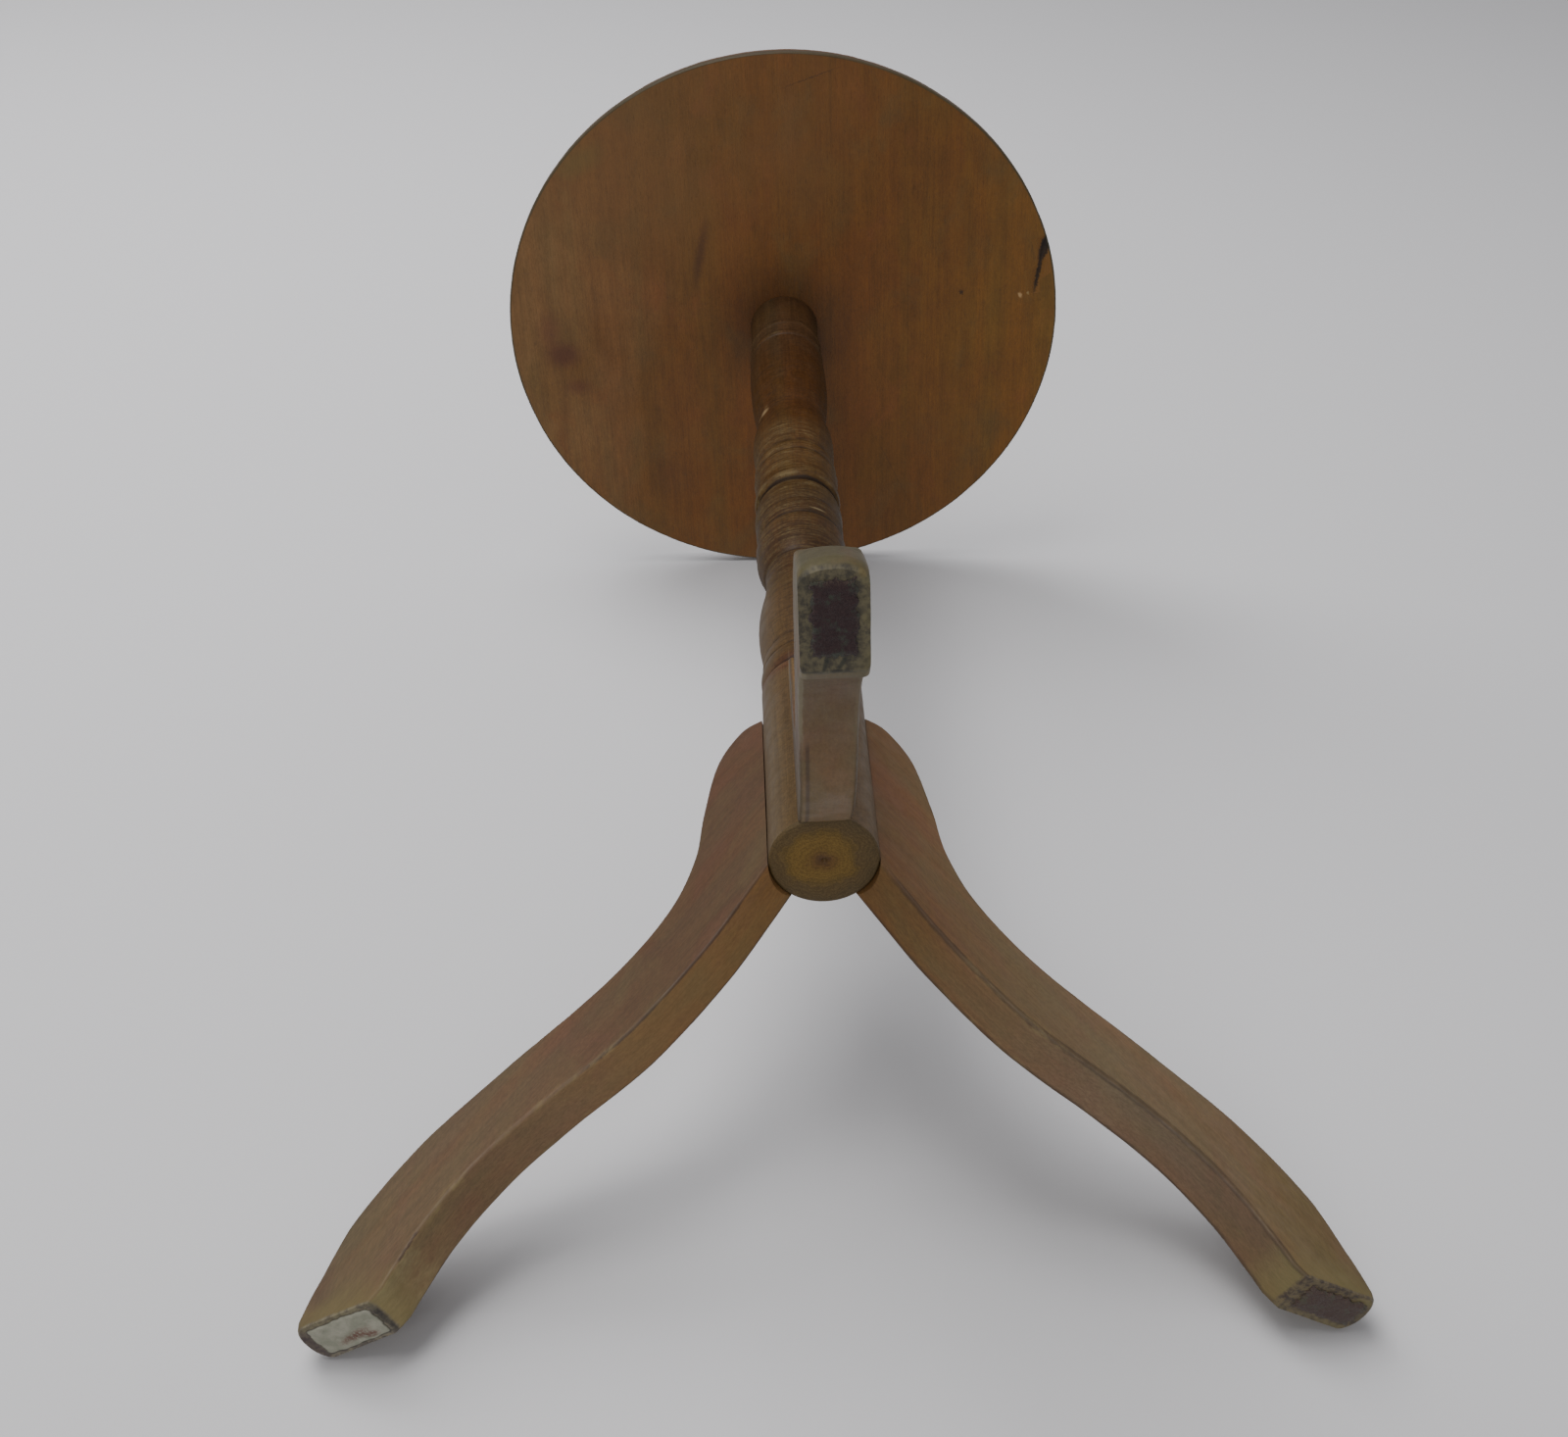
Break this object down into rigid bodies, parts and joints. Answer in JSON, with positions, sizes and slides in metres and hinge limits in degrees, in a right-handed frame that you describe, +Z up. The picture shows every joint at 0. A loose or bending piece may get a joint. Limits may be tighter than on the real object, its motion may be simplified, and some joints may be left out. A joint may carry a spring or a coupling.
{
  "type": "tripod pedestal table",
  "caption": "Small occasional table: a plain round wooden top fixed on a turned column that stands on S-curved sawn legs with worn foot pads.",
  "frame": {"origin": "middle of the base of the whole table's box, on the floor under the foot pads", "axes": "+Z up along the column; -Y towards the front leg, +X to the right seen from the front leg"},
  "size_m": [0.3758, 0.3632, 0.6015],
  "materials": {
    "top_wood": "satin stained and varnished, flat grain, scuffed",
    "turned_wood": "satin stained and varnished, turned, light wear on the rings",
    "leg_wood": "thin worn satin finish, pale at the edges and feet",
    "dowel_wood": "unfinished",
    "felt": "worn glued felt",
    "pad_backing": "dry glue and backing left by a lost felt pad"
  },
  "bodies": {
    "root": {"table_top": "top_wood", "column": "turned_wood", "leg_front": "leg_wood", "dowel_front_upper": "dowel_wood", "dowel_front_lower": "dowel_wood", "leg_right": "leg_wood", "dowel_right_upper": "dowel_wood", "dowel_right_lower": "dowel_wood", "leg_left": "leg_wood", "dowel_left_upper": "dowel_wood", "dowel_left_lower": "dowel_wood", "felt_pad_front": "felt", "felt_pad_right": "felt", "pad_remnant_left": "pad_backing"}
  },
  "joints": []
}
